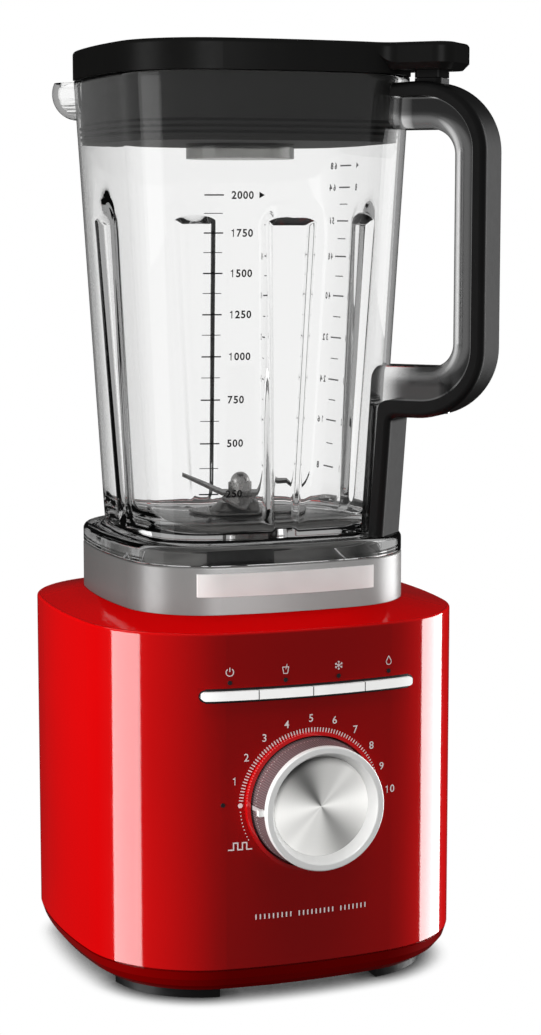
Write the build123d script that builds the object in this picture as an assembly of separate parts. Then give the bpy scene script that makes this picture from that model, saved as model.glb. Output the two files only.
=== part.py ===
from build123d import *
import math
import os

os.makedirs("parts", exist_ok=True)

# Countertop blender.  Origin: centre of the base on the resting plane.  +Z up, front -Y, +X right.

# ---- plan outlines: half width at mid side, side arc radius, corner arc radius
BASE = (95.6, 296.0, 60.2)
COLLAR = (72.64, 253.0, 41.1)
LID = (74.8, 328.0, 42.8)
JAR = (74.5, 328.0, 42.8)

# ---- heights
SEAM_Z = 17.7
PAN_Z = 4.9
RIM_Z = 176.3
DECK_Z = 180.7
DECK_UNDER_Z = 172.0
COLLAR_TOP_Z = 203.2
FLANGE_TOP_Z = 212.5
JAR_FLOOR_Z = 215.5
JAR_RIM_Z = 430.7
LID_Z = 431.0
TOP_Z = 445.0
PLUG_Z = 399.6

# ---- walls and clearances
WALL = 3.2
JAR_WALL = 3.6
DRAFT = 0.0618
FLANGE_ROUND = 3.0
GAP = 0.3
FIT = 0.05

# ---- flutes pressed into the jar
FLUTE_W = 24.0
FLUTE_DEPTH = 4.0
FLUTE_R = ((FLUTE_W / 2) ** 2 + FLUTE_DEPTH**2) / (2 * FLUTE_DEPTH)
FLUTE_TOP_Z = 354.0

# ---- spout bulge at the back left corner: distance of its centre from the axis, height, ball radius
SPOUT_R = 88.8
SPOUT_Z = 425.3
SPOUT_BALL = 13.0

# ---- handle, in a vertical plane through the front right corner: radius from the axis and height
HANDLE_HALF = 13.0
HANDLE_OUT = 130.3
HANDLE_TOP_Z = 427.4
HANDLE_LOW_Z = 270.2
SEAM_R = 124.1
SEAM_TOP_Z = 420.6
SEAM_LOW_Z = 278.4
GRIP_R = 113.6
GRIP_TOP_Z = 405.3
GRIP_LOW_Z = 294.5
POST_R = 99.2
POST_W = 13.5

# ---- badge on the collar
BADGE_X = (-46.5, 42.0)
BADGE_Z0 = 189.4
BADGE_Z1 = 200.2

# ---- controls
BUTTON_Z = 147.3
BUTTON_H = 4.2
BUTTON_W = 26.5
BUTTON_PROUD = 1.6
BUTTON_GAP = 0.25
BUTTON_DEPTH = 2.2
BUTTON_XS = [-1.5 * BUTTON_W, -0.5 * BUTTON_W, 0.5 * BUTTON_W, 1.5 * BUTTON_W]
BUTTON_NAMES = ["button_power", "button_smoothie", "button_ice", "button_clean"]
LED_Z = 153.3
DIAL_Z = 95.0
DIAL_R = 29.2
DIAL_BASE_R = 31.0
DIAL_FRONT_Y = -112.6
DISC_R = 23.5
DISC_Y = -106.8
BOARD_Y = -84.0

# ---- drive train
SHAFT_R = 4.0
MOTOR_SHAFT_R = 5.0
STACK_Z0 = 88.0
STACK_Z1 = 128.0
ARMATURE_R = 25.8


def bowed(size, inset=0.0, z=0.0):
    """Face bounded by four bowed sides and four corner arcs, shrunk by inset, at height z."""
    half, side_r, corner_r = size[0] - inset, size[1] - inset, size[2] - inset
    off = side_r - half
    reach = side_r - corner_r
    k = (-2 * off + math.sqrt(4 * off**2 - 8 * (off**2 - reach**2))) / 4
    edges = []
    for turn in range(4):
        quarter = 90.0 * turn
        centre = Vector(0, off, 0).rotate(Axis.Z, quarter)
        right = Vector(k, -k, 0).rotate(Axis.Z, quarter)
        left = Vector(-k, -k, 0).rotate(Axis.Z, quarter)
        start = centre + (left - centre).normalized() * side_r
        middle = centre + Vector(0, -side_r, 0).rotate(Axis.Z, quarter)
        end = centre + (right - centre).normalized() * side_r
        edges.append(ThreePointArc(start, middle, end))
        corner = right + right.normalized() * corner_r
        following = Vector(0, off, 0).rotate(Axis.Z, quarter + 90)
        after = following + (right - following).normalized() * side_r
        edges.append(ThreePointArc(end, corner, after))
    return Pos(0, 0, z) * Face(Wire(edges))


def slab(size, z0, z1, inset=0.0):
    return extrude(bowed(size, inset, z0), amount=z1 - z0, dir=(0, 0, 1))


def taper(size, z0, inset0, z1, inset1):
    return loft([bowed(size, inset0, z0), bowed(size, inset1, z1)], ruled=True)


def drum(radius, z0, z1, x=0.0, y=0.0):
    return Pos(x, y, z0) * Cylinder(radius, z1 - z0, align=(Align.CENTER, Align.CENTER, Align.MIN))


def tube(outer, inner, z0, z1, x=0.0, y=0.0):
    return drum(outer, z0, z1, x, y) - drum(inner, z0 - 1, z1 + 1, x, y)


def block(x0, x1, y0, y1, z0, z1):
    return Pos((x0 + x1) / 2, (y0 + y1) / 2, (z0 + z1) / 2) * Box(x1 - x0, y1 - y0, z1 - z0)


def front_disc(radius, y0, y1, x=0.0, z=DIAL_Z):
    """Cylinder along Y between two depths."""
    return Pos(x, (y0 + y1) / 2, z) * Rot(90, 0, 0) * Cylinder(radius, y1 - y0)


def front_ring(outer, inner, y0, y1):
    return front_disc(outer, y0, y1) - front_disc(inner, y0 - 1, y1 + 1)


def level_edges(solid, z, tolerance=0.05):
    return [e for e in solid.edges() if all(abs(v.Z - z) < tolerance for v in e.vertices())
            and abs(e.center().Z - z) < tolerance]


def corners(radius):
    """Four points on the diagonals at one distance from the axis."""
    step = radius / math.sqrt(2)
    return [(sx * step, sy * step) for sx in (-1, 1) for sy in (-1, 1)]


def on_handle(shape):
    """Turns a shape built in the XZ plane into the handle's diagonal plane."""
    return Rot(0, 0, -45) * shape


def joined(parts):
    total = parts[0]
    for extra in parts[1:]:
        total = total + extra
    return total


# ------------------------------------------------------------------ base

PAN_SCREW_R = 91.4
BOSS_WEB_R = 98.4


def base_housing():
    body = slab(BASE, SEAM_Z, RIM_Z)
    body = fillet(level_edges(body, RIM_Z), 1.2)
    shoulder = loft([bowed(BASE, 1.3, RIM_Z - 0.1), bowed(COLLAR, -0.6, DECK_Z)], ruled=True)
    body = body + shoulder
    hollow = slab(BASE, SEAM_Z - 1, DECK_UNDER_Z, WALL)
    body = body - hollow
    bosses = [drum(6.0, SEAM_Z, 60.0, x, y) for x, y in corners(PAN_SCREW_R) + corners(BOSS_WEB_R)]
    mounts = [drum(8.0, 162.0, DECK_UNDER_Z + 1, x, y) for x, y in corners(58.0)]
    body = joined([body] + bosses + mounts) & slab(BASE, SEAM_Z, DECK_Z, 0.5) + body
    body = body - joined([drum(1.95, SEAM_Z - 1, 45.0, x, y) for x, y in corners(PAN_SCREW_R)])
    body = body - drum(16.0, DECK_UNDER_Z - 1, DECK_Z + 1)
    body = body - front_disc(DIAL_BASE_R + 2.0, -100, -80)
    slot = block(-54.3, 54.3, -100, -80, BUTTON_Z - 3.4, BUTTON_Z + 3.4)
    lights = [front_disc(1.05, -100, -80, x, LED_Z) for x in BUTTON_XS]
    lights.append(front_disc(1.05, -100, -80, -43.1, DIAL_Z + 1.0))
    body = body - slot - joined(lights)
    return body - drum(8.05, -10, 10).rotate(Axis.X, 90).translate((0, 95, 34))


def base_pan():
    turns = [(PAN_Z, 10.3), (8.5, 5.0), (12.5, 1.7), (SEAM_Z - 1.0, 0.3)]
    outer = [taper(BASE, low[0], low[1], high[0], high[1]) for low, high in zip(turns, turns[1:])]
    outer = joined(outer) + slab(BASE, SEAM_Z - 1.0, SEAM_Z, 1.6)
    inner = taper(BASE, PAN_Z + 3.0, 13.0, SEAM_Z + 0.5, 4.6)
    pan = outer - inner
    stems = [drum(6.0, PAN_Z + 1, SEAM_Z, x, y) for x, y in corners(PAN_SCREW_R)]
    pan = pan + joined([s & taper(BASE, PAN_Z, 10.3, SEAM_Z, 2.0) for s in stems])
    vents = []
    for row in range(-5, 6):
        vents.append(block(-34, 34, 6.4 * row - 1.5, 6.4 * row + 1.5, PAN_Z - 1, PAN_Z + 4))
    pan = pan - joined(vents)
    for x, y in corners(PAN_SCREW_R):
        pan = pan - drum(2.0, 0, SEAM_Z + 1, x, y) - drum(4.0, 0, PAN_Z + 4.0, x, y)
    return pan


def feet():
    """Four rubber feet stuck over the pan screws, following the corners of the pan."""
    pads = []
    band = slab(BASE, 0.0, PAN_Z, 13.5) - slab(BASE, -1.0, PAN_Z + 1, 27.0)
    band = band & slab(BASE, 0.0, PAN_Z, 13.5)
    for x, y in corners(1.0):
        sx, sy = math.copysign(1, x), math.copysign(1, y)
        quadrant = block(*sorted((40 * sx, 120 * sx)), *sorted((40 * sy, 120 * sy)), 0, PAN_Z)
        pads.append(band & quadrant)
    return Compound(pads)


def pan_screws():
    screws = []
    for x, y in corners(PAN_SCREW_R):
        head = drum(3.6, PAN_Z + 1.6, PAN_Z + 3.9, x, y)
        screws.append(head + drum(1.9, PAN_Z + 3.5, SEAM_Z + 8, x, y))
    return Compound(screws)


def collar_ring():
    ring = slab(COLLAR, DECK_Z + FIT, COLLAR_TOP_Z) - slab(COLLAR, DECK_Z - 1, COLLAR_TOP_Z + 1, WALL)
    return fillet(level_edges(ring, COLLAR_TOP_Z), 0.8)


def badge_bar():
    """Plain raised bar on the front of the collar."""
    plate = slab(COLLAR, BADGE_Z0, BADGE_Z1, -1.1) - slab(COLLAR, 180, 205, -FIT)
    return plate & block(*BADGE_X, -90, -60, BADGE_Z0, BADGE_Z1)


def jar_seat():
    """Rubber tray inside the collar that the jar foot stands in."""
    tray = slab(COLLAR, DECK_Z + FIT, 199.5, WALL + FIT) - slab(COLLAR, 190.0, 201, WALL + 2.6)
    tray = tray - drum(26.0, DECK_Z + 3.0, 195)
    return tray - drum(14.0, DECK_Z - 1, DECK_Z + 4)


def deck_seal():
    return tube(13.9, MOTOR_SHAFT_R + 0.1, DECK_Z - 4, DECK_Z + 2.5)


# ------------------------------------------------------------------ controls

def bar_segment(x0, x1, y_in, proud, half_height):
    """Piece of a bar that follows the bowed front, between two x positions."""
    ring = slab(BASE, BUTTON_Z - half_height, BUTTON_Z + half_height, -proud)
    ring = ring - slab(BASE, 100, 200, y_in)
    return ring & block(x0, x1, -110, -80, 100, 200)


def rounded_bar(half_length, half_height):
    """Prism along Y with round ends, as seen from the front."""
    mid = block(-half_length + half_height, half_length - half_height, -110, -80,
                BUTTON_Z - half_height, BUTTON_Z + half_height)
    ends = [front_disc(half_height, -110, -80, s * (half_length - half_height), BUTTON_Z) for s in (-1, 1)]
    return joined([mid] + ends)


def button_bezel():
    frame = bar_segment(-54.2, 54.2, WALL + 1.5, 0.0, 3.3)
    frame = frame & rounded_bar(54.2, 3.3)
    return frame - rounded_bar(53.0 + GAP, BUTTON_H / 2 + GAP)


def button(index):
    x = BUTTON_XS[index]
    x0, x1 = x - BUTTON_W / 2 + BUTTON_GAP, x + BUTTON_W / 2 - BUTTON_GAP
    cap = bar_segment(x0, x1, BUTTON_DEPTH, BUTTON_PROUD, BUTTON_H / 2)
    cap = cap & rounded_bar(53.0, BUTTON_H / 2)
    stem = block(x - 1.5, x + 1.5, -93.5, BOARD_Y - 4.9, BUTTON_Z - 1.5, BUTTON_Z + 1.5)
    return cap + stem


def led_lenses():
    places = [(x, LED_Z) for x in BUTTON_XS] + [(-43.1, DIAL_Z + 1.0)]
    lenses = []
    for x, z in places:
        face_y = -BASE[0] + x**2 / (2 * BASE[1])
        lenses.append(front_disc(1.0, face_y - 0.25, BOARD_Y - 2.2, x, z))
    return Compound(lenses)


def tact_switches():
    switches = []
    for x in BUTTON_XS:
        case = block(x - 3, x + 3, BOARD_Y - 2.2, BOARD_Y - FIT, BUTTON_Z - 3, BUTTON_Z + 3)
        switches.append(case + front_disc(1.6, BOARD_Y - 3.1, BOARD_Y - 2.2, x, BUTTON_Z))
    return Compound(switches)


def control_board():
    board = block(-58, 58, BOARD_Y, BOARD_Y + 1.6, 62, 160)
    board = board - front_disc(3.6, -100, -60)
    for x in (-53, 53):
        for z in (67, 155):
            board = board - front_disc(1.7, -100, -60, x, z)
    return board


def control_chips():
    places = [(-28, 74, 12), (16, 72, 9), (30, 128, 7), (-34, 126, 8)]
    chips = [block(x - s, x + s, BOARD_Y + 1.65, BOARD_Y + 4.2, z - s * 0.6, z + s * 0.6)
             for x, z, s in places]
    return Compound(chips)


def dial_trim_ring():
    """Bright ring set into the housing around the dial."""
    ring = front_ring(DIAL_BASE_R + 1.95, DIAL_BASE_R + 0.25, -97.2, -89.0)
    return ring + front_disc(DIAL_BASE_R + 1.95, -91.0, -89.0) - front_disc(8.0, -95, -85)


def dial_cone():
    return Pos(0, (-109.4 - 92.0) / 2, DIAL_Z) * Rot(90, 0, 0) * Cone(DIAL_BASE_R - 0.2, DIAL_R - 0.5, 17.4)


def dial_skirt():
    """Translucent skirt behind the front ring."""
    skirt = dial_cone() - front_disc(DIAL_R - 2.6, -112, -94.0)
    return skirt - front_disc(10.0, -95, -91)


def dial_ring():
    """Front ring with a conical inner wall that runs back to the disc."""
    ring = front_disc(DIAL_R, DIAL_FRONT_Y, -109.5) + front_disc(DIAL_R - 2.65, -109.6, DISC_Y + 2.0)
    cone = Pos(0, (DIAL_FRONT_Y - 0.1 + DISC_Y) / 2, DIAL_Z) * Rot(90, 0, 0) * Cone(
        DISC_R, DIAL_R - 3.1, DISC_Y - DIAL_FRONT_Y + 0.1)
    ring = ring - cone - front_disc(DISC_R, DISC_Y - 1, DISC_Y + 5)
    rims = [e for e in ring.edges() if abs(e.center().Y - DIAL_FRONT_Y) < 0.01]
    return fillet(rims, 0.7)


def dial_face():
    return front_disc(DISC_R - 0.05, DISC_Y, DISC_Y + 2.0)


def dial_hub():
    """Black core that carries the disc and ring and grips the encoder shaft."""
    hub = front_disc(DIAL_R - 2.7, DISC_Y + 2.05, DISC_Y + 4.5) + front_disc(9.0, DISC_Y + 4, -91.6)
    return hub - front_disc(3.05, DISC_Y + 3.5, -90)


def dial_pointer():
    tab = block(-DIAL_R - 2.6, -DIAL_R + 0.8, -109.4, -106.6, DIAL_Z - 1.4, DIAL_Z + 1.4)
    return tab - dial_cone()


def encoder_shaft():
    return front_disc(3.0, DISC_Y + 3.6, BOARD_Y - 1.0)


def encoder():
    case = block(-6.5, 6.5, BOARD_Y - 4.6, BOARD_Y - FIT, DIAL_Z - 6.5, DIAL_Z + 6.5)
    return case - front_disc(3.06, -100, -80)


# ------------------------------------------------------------------ motor

def motor_bolts():
    bolts = []
    for x, y in corners(48.0):
        rod = drum(2.0, 44.0, 152.0, x, y)
        bolts.append(rod + drum(3.8, 41.0, 44.1, x, y) + drum(3.8, 151.9, 155.0, x, y))
    return Compound(bolts)


def stator_core():
    """Laminated field ring with two poles."""
    ring = extrude(Pos(0, 0, STACK_Z0) * RectangleRounded(88, 80, 14), amount=STACK_Z1 - STACK_Z0)
    window = extrude(Pos(0, 0, STACK_Z0 - 1) * RectangleRounded(70, 60, 8), amount=STACK_Z1 - STACK_Z0 + 2)
    poles = block(-22, 22, -31, 31, STACK_Z0, STACK_Z1)
    core = ring - window + poles - drum(ARMATURE_R + 0.6, STACK_Z0 - 1, STACK_Z1 + 1)
    return core - joined([drum(2.05, 0, 200, x, y) for x, y in corners(48.0)])


def field_coils():
    coils = []
    for side in (-1, 1):
        outer = block(-27.5, 27.5, *sorted((27.3 * side, 29.9 * side)), STACK_Z0 - 8, STACK_Z1 + 8)
        inner = block(-22.3, 22.3, *sorted((20 * side, 35 * side)), STACK_Z0 - 0.3, STACK_Z1 + 0.3)
        coils.append(outer - inner)
    return Compound(coils)


def armature_core():
    core = drum(ARMATURE_R, STACK_Z0, STACK_Z1)
    slots = []
    for index in range(12):
        slot = block(14.0, 24.0, -1.6, 1.6, STACK_Z0 - 1, STACK_Z1 + 1)
        slots.append(Rot(0, 0, 30 * index) * (slot + block(22, 28, -0.7, 0.7, STACK_Z0 - 1, STACK_Z1 + 1)))
    return core - joined(slots) - drum(MOTOR_SHAFT_R, 0, 200)


def armature_windings():
    """Copper bundles in the slots, with end turns above and below the core."""
    coils = []
    for index in range(12):
        coils.append(Rot(0, 0, 30 * index) * block(14.3, 23.6, -1.3, 1.3, STACK_Z0 - 4, STACK_Z1 + 4))
    ends = [tube(23.4, 7.5, STACK_Z0 - 12, STACK_Z0 - 0.1), tube(23.4, 7.5, STACK_Z1 + 0.1, STACK_Z1 + 11)]
    return joined(ends + coils)


def commutator():
    drum_part = tube(12.0, MOTOR_SHAFT_R + 0.0, 59.0, 75.6)
    cuts = [Rot(0, 0, 15 * i) * block(10.6, 13, -0.3, 0.3, 60.5, 73.5) for i in range(24)]
    return drum_part - joined(cuts)


def motor_shaft():
    return drum(MOTOR_SHAFT_R, 28.0, 187.0)


def cooling_fan():
    hub = tube(9.0, MOTOR_SHAFT_R, 29.0, 41.0) + tube(36.0, MOTOR_SHAFT_R, 39.0, 41.0)
    blades = [Rot(0, 0, 30 * i) * (Pos(22, 0, 34.5) * Rot(0, 0, 18) * Box(26, 1.6, 9.4)) for i in range(12)]
    return joined([hub] + blades) & tube(36.0, MOTOR_SHAFT_R, 29.0, 41.0)


def motor_bracket(z0, z1):
    """Cross shaped casting that holds one motor bearing."""
    plate = joined([Rot(0, 0, 45 + 90 * i) * block(-55, 55, -9, 9, z0, z0 + 6) for i in range(2)])
    plate = plate + drum(20.0, z0, z1)
    plate = plate - drum(11.05, z0 - 1, z1 - 2.5) - drum(7.0, z0 - 5, z1 + 5)
    return plate - joined([drum(2.05, 0, 200, x, y) for x, y in corners(48.0)])


def upper_bracket():
    frame = motor_bracket(145.9, 156.0)
    lugs = [drum(7.0, 145.9, 151.8, x, y) for x, y in corners(60.0)]
    frame = frame + joined([lug - drum(3.85, 100, 200, *p) for lug, p in zip(lugs, corners(48.0))])
    return frame - joined([drum(2.05, 0, 200, x, y) for x, y in corners(48.0)])


def lower_bracket():
    frame = Pos(0, 0, 100.1) * Rot(180, 0, 0) * motor_bracket(50.0, 58.5)
    return frame


def motor_bearings():
    return Compound([tube(11.0, MOTOR_SHAFT_R + 0.03, 146.2, 153.2),
                     tube(11.0, MOTOR_SHAFT_R + 0.03, 44.2, 50.0)])


def motor_dampers():
    return Compound([drum(6.5, 151.9, 161.9, x, y) for x, y in corners(60.5)])


def carbon_brushes():
    return Compound([block(*sorted((12.15 * s, 27 * s)), -3, 3, 63.0, 71.0) for s in (-1, 1)])


def brush_holders():
    holders = []
    for s in (-1, 1):
        sleeve = block(*sorted((14.5 * s, 36 * s)), -5, 5, 60.5, 73.5)
        sleeve = sleeve - block(*sorted((13 * s, 34 * s)), -3.05, 3.05, 62.95, 71.05)
        foot = block(*sorted((22 * s, 36 * s)), -5, 5, 50.2, 60.6)
        holders.append(sleeve + foot)
    return Compound(holders)


def power_board():
    return block(-45, 45, 74.0, 75.6, 62, 140)


def power_parts():
    items = [block(-38, -18, 60, 73.9, 70, 92), block(-8, 12, 62, 73.9, 70, 88)]
    items.append(Pos(28, 66.0, 84) * Cylinder(7.5, 26))
    items.append(block(-36, -10, 66, 73.9, 104, 128))
    items.append(block(6, 38, 69, 73.9, 112, 130))
    return Compound(items)


def cord_gland():
    """Rubber grommet in the rear wall that closes the cable entry."""
    body = drum(8.0, -6, 6).rotate(Axis.X, 90).translate((0, 94.2, 34))
    flange = drum(10.5, -1, 1).rotate(Axis.X, 90).translate((0, 96.9, 34))
    return body + flange - drum(3.4, -5, 20).rotate(Axis.X, -90).translate((0, 94.0, 34))


# ------------------------------------------------------------------ drive couplings

def drive_coupling():
    """Male star coupling on top of the motor shaft."""
    star = drum(7.0, 184.0, 195.5)
    arms = [Rot(0, 0, 60 * i) * block(0, 11.0, -2.0, 2.0, 185.5, 195.5) for i in range(6)]
    return joined([star] + arms) - drum(MOTOR_SHAFT_R, 180, 187.0)


def driven_coupling():
    """Female coupling under the jar that drops over the star."""
    cup = drum(16.5, 186.5, 201.0) - drum(11.6, 180, 196.2)
    teeth = [Rot(0, 0, 60 * i + 30) * block(7.8, 12.5, -1.7, 1.7, 186.5, 196.5) for i in range(6)]
    return joined([cup] + teeth) + drum(8.0, 200, 203.0) - drum(SHAFT_R, 197.5, 210)


# ------------------------------------------------------------------ jar

def jar_inset(z):
    return DRAFT * (JAR_RIM_Z - z)


def jar_taper(z0, z1, inset=0.0):
    return taper(JAR, z0, jar_inset(z0) + inset, z1, jar_inset(z1) + inset)


def flute_tools(radius, z0):
    """Four rods that lean with the jar wall, each with a ball on top."""
    centre = JAR[0] - FLUTE_DEPTH + FLUTE_R
    high = Vector(0, -(centre - jar_inset(FLUTE_TOP_Z)), FLUTE_TOP_Z)
    low = Vector(0, -(centre - jar_inset(z0)), z0)
    rod = Plane(origin=low, z_dir=high - low) * Cylinder(
        radius, (high - low).length, align=(Align.CENTER, Align.CENTER, Align.MIN))
    one = rod + Pos(high) * Sphere(radius)
    return joined([Rot(0, 0, 90 * i) * one for i in range(4)])


def jar_flange():
    flange = slab(COLLAR, COLLAR_TOP_Z + GAP, FLANGE_TOP_Z, 0.1)
    return fillet(level_edges(flange, FLANGE_TOP_Z), FLANGE_ROUND)


def at_spout(shape, z):
    return Rot(0, 0, 135) * Pos(SPOUT_R, 0, z) * shape


def spout_ball(radius):
    return at_spout(Sphere(radius), SPOUT_Z) & block(-120, 120, -120, 120, 380, JAR_RIM_Z)


def jar_body():
    outer = jar_taper(FLANGE_TOP_Z - 6, JAR_RIM_Z) + spout_ball(SPOUT_BALL)
    outer = outer - flute_tools(FLUTE_R, FLANGE_TOP_Z - 20)
    foot = slab(COLLAR, 190.4, COLLAR_TOP_Z + 1, WALL + 3.2)
    body = outer + jar_flange() + foot
    cavity = jar_taper(JAR_FLOOR_Z, JAR_RIM_Z + 2, JAR_WALL)
    cavity = cavity - flute_tools(FLUTE_R + JAR_WALL, JAR_FLOOR_Z - 20)
    spout_hollow = spout_ball(SPOUT_BALL - 2.8) + at_spout(Cylinder(7.6, 6), JAR_RIM_Z)
    under = slab(COLLAR, 180, JAR_FLOOR_Z - 4.0, WALL + 6.6)
    body = body - cavity - spout_hollow - under
    return body - drum(16.3, 200, 240)


def handle_region(points, rounds):
    """Closed outline in the handle plane; rounds maps a corner to its fillet radius."""
    face = Face(Wire(Polyline(*[Vector(r, 0, z) for r, z in points], close=True).edges()))
    for (r, z), radius in rounds.items():
        corner = face.vertices().sort_by_distance((r, 0, z))[0]
        face = fillet(corner, radius)
    return face


def handle_plate(points, rounds, half):
    face = handle_region(points, rounds)
    return extrude(face, amount=half, both=True)


LEG_R = 80.2
LEG_TOP_R = 84.2
LEG_SEAM_R = 73.5
LEG_SEAM_TOP_R = 78.2
LEG_Z = FLANGE_TOP_Z + 0.1


def handle_opening(half):
    """Finger opening, run inwards past the jar wall."""
    points = [(50, GRIP_LOW_Z), (GRIP_R, GRIP_LOW_Z), (GRIP_R, GRIP_TOP_Z), (50, GRIP_TOP_Z)]
    return handle_plate(points, {points[1]: 11.0, points[2]: 12.0}, half)


def handle_inner(half):
    """Everything inside the seam between shell and core."""
    points = [(40, SEAM_TOP_Z), (SEAM_R, SEAM_TOP_Z), (SEAM_R, SEAM_LOW_Z),
              (LEG_SEAM_TOP_R, SEAM_LOW_Z), (LEG_SEAM_R, LEG_Z), (40, LEG_Z)]
    return handle_plate(points, {points[1]: 26.0, points[2]: 25.0, points[3]: 5.0}, half)


def handle_outer(half):
    points = [(40, 424.3), (96.0, HANDLE_TOP_Z), (HANDLE_OUT, HANDLE_TOP_Z), (HANDLE_OUT, HANDLE_LOW_Z),
              (LEG_TOP_R, HANDLE_LOW_Z), (LEG_R, LEG_Z), (40, LEG_Z)]
    return handle_plate(points, {points[1]: 14.0, points[2]: 33.0, points[3]: 33.0, points[4]: 3.0}, half)


def jar_keepout():
    """Space taken by the jar and its foot, grown a little, as seen from the handle."""
    wall = jar_taper(FLANGE_TOP_Z - 10, JAR_RIM_Z + 4, -0.08)
    foot = slab(COLLAR, COLLAR_TOP_Z - 4, FLANGE_TOP_Z + 0.08, 0.02)
    return wall + fillet(level_edges(foot, FLANGE_TOP_Z + 0.08), FLANGE_ROUND)


def side_edges(solid, half, keep):
    return [e for e in solid.edges() if all(abs(abs(v.Y) - half) < 0.01 for v in e.vertices())
            and abs(abs(e.center().Y) - half) < 0.01 and keep(e.center())]


def handle_screw_bores(radius, z0, z1):
    return joined([drum(radius, z0, z1, x) for x in (92.0, 106.0)])


def handle_shell():
    outer = handle_outer(HANDLE_HALF)
    outer = fillet(side_edges(outer, HANDLE_HALF, lambda c: c.X > 81 or c.Z < 280 and c.X > 78), 3.0)
    boss = block(POST_R - POST_W / 2, POST_R + POST_W / 2, -7, 7, 420, 428.85)
    shell = outer + fillet(boss.edges().filter_by(Axis.Z), 2.5)
    shell = shell - handle_inner(HANDLE_HALF + 5)
    shell = shell - handle_screw_bores(2.1, 265, 285) - handle_screw_bores(3.7, 265, 273.2)
    return on_handle(shell) - jar_keepout()


def handle_core():
    """Clear inner bracket moulded against the jar corner, held by the shell."""
    core = handle_inner(HANDLE_HALF - 0.6) - handle_opening(HANDLE_HALF + 5)
    rims = side_edges(core, HANDLE_HALF - 0.6,
                      lambda c: GRIP_LOW_Z - 1 < c.Z < GRIP_TOP_Z + 1 and 80 < c.X < GRIP_R + 1)
    core = fillet(rims, 6.0)
    core = core - handle_screw_bores(1.65, 270, 287)
    return on_handle(core) - jar_keepout()


def handle_screws():
    screws = []
    for x in (92.0, 106.0):
        screws.append(on_handle(drum(3.5, 270.9, 273.1, x) + drum(1.6, 273.0, 286.5, x)))
    return Compound(screws)


# ------------------------------------------------------------------ blades

BLADE_Z = 226.6


def hub_gasket():
    return tube(25.0, 16.4, JAR_FLOOR_Z + 0.02, JAR_FLOOR_Z + 1.4)


def blade_hub():
    """Steel bearing housing clamped through the jar floor."""
    body = drum(26.0, JAR_FLOOR_Z + 1.45, JAR_FLOOR_Z + 3.4) + drum(16.2, 204.4, JAR_FLOOR_Z + 3)
    body = body + Pos(0, 0, JAR_FLOOR_Z + 3.4 + 3) * Cone(16.0, 10.5, 6.0)
    return body - drum(8.05, 200, 221.0) - drum(6.5, 200, 240)


def hub_nut():
    nut = extrude(Pos(0, 0, 204.7) * RegularPolygon(25.0, 8), amount=6.7)
    return nut - drum(16.25, 200, 220)


def shaft_bearings():
    return Compound([tube(8.0, SHAFT_R + 0.04, 205.0, 210.0), tube(8.0, SHAFT_R + 0.04, 215.5, 220.5)])


def shaft_seal():
    return tube(6.45, SHAFT_R + 0.06, 221.2, 225.6)


def blade_shaft():
    return drum(SHAFT_R, 197.6, BLADE_Z) + drum(3.0, BLADE_Z - 1, BLADE_Z + 10.4)


def blade_pair(thickness, points, turn, z):
    """Two mirrored blades cut from one bent strip; points run outwards from the hub."""
    path = [Vector(x, 0, dz) for x, dz in points]
    back = [Vector(x, 0, dz + thickness) for x, dz in reversed(points)]
    strip = extrude(Face(Wire(Polyline(*path, *back, close=True).edges())), amount=8, both=True)
    sweep = extrude(Face(Wire(Polyline((0, -7.5, -40), (12, -7.5, -40), (33, 5.5, -40), (34, 7, -40),
                                       (12, 7, -40), (0, 7.5, -40), close=True).edges())), amount=90,
                    dir=(0, 0, 1))
    one = Pos(0, 0, z) * (strip & sweep)
    other = Rot(0, 0, 180) * one
    return Rot(0, 0, turn) * (one + other + drum(8.4, z, z + thickness) - drum(3.02, z - 5, z + 9))


def lower_blade():
    return blade_pair(1.6, [(0, 0), (12, 0), (33, -3.4)], 62, BLADE_Z + 0.05)


def upper_blade():
    return blade_pair(1.6, [(0, 0), (9, 0), (17, 4.0), (29, 9.5)], -20, BLADE_Z + 1.8)


def blade_nut():
    nut = extrude(Pos(0, 0, BLADE_Z + 3.5) * RegularPolygon(6.4, 6), amount=4.4)
    cap = Pos(0, 0, BLADE_Z + 7.9) * (Sphere(5.0) & block(-6, 6, -6, 6, 0, 6))
    return nut + cap - drum(3.03, BLADE_Z, BLADE_Z + 10.6)


# ------------------------------------------------------------------ lid

CAP_R = 26.2
TAB_R = 114.3


def lid_tab():
    face = Pos((60 + TAB_R) / 2, 0, 0) * RectangleRounded(TAB_R - 60, 34, 9)
    tab = extrude(Pos(0, 0, 432.6) * face, amount=TOP_Z - 432.6)
    low = [e for e in level_edges(tab, 432.6) if e.center().X > TAB_R - 10]
    tab = chamfer(low, 3.0)
    post = block(POST_R - POST_W / 2, POST_R + POST_W / 2, -7, 7, 429.15, 433.5)
    return on_handle(tab + fillet(post.edges().filter_by(Axis.Z), 2.5))


def lid_shell():
    cover = slab(LID, LID_Z, TOP_Z) + lid_tab()
    upright = cover.edges().filter_by(Axis.Z)
    nooks = [e for e in upright if e.center().Z > 438.1 and math.hypot(e.center().X, e.center().Y) < 90]
    cover = fillet(nooks, 10.0)
    rim = [e for e in level_edges(cover, TOP_Z)]
    cover = fillet(rim, 2.2)
    hollow = slab(LID, LID_Z - 1, TOP_Z - 3.0, 6.0) - drum(CAP_R + 4.0, 400, 460)
    cover = cover - hollow
    return cover - drum(CAP_R + GAP, 400, 450)


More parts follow.
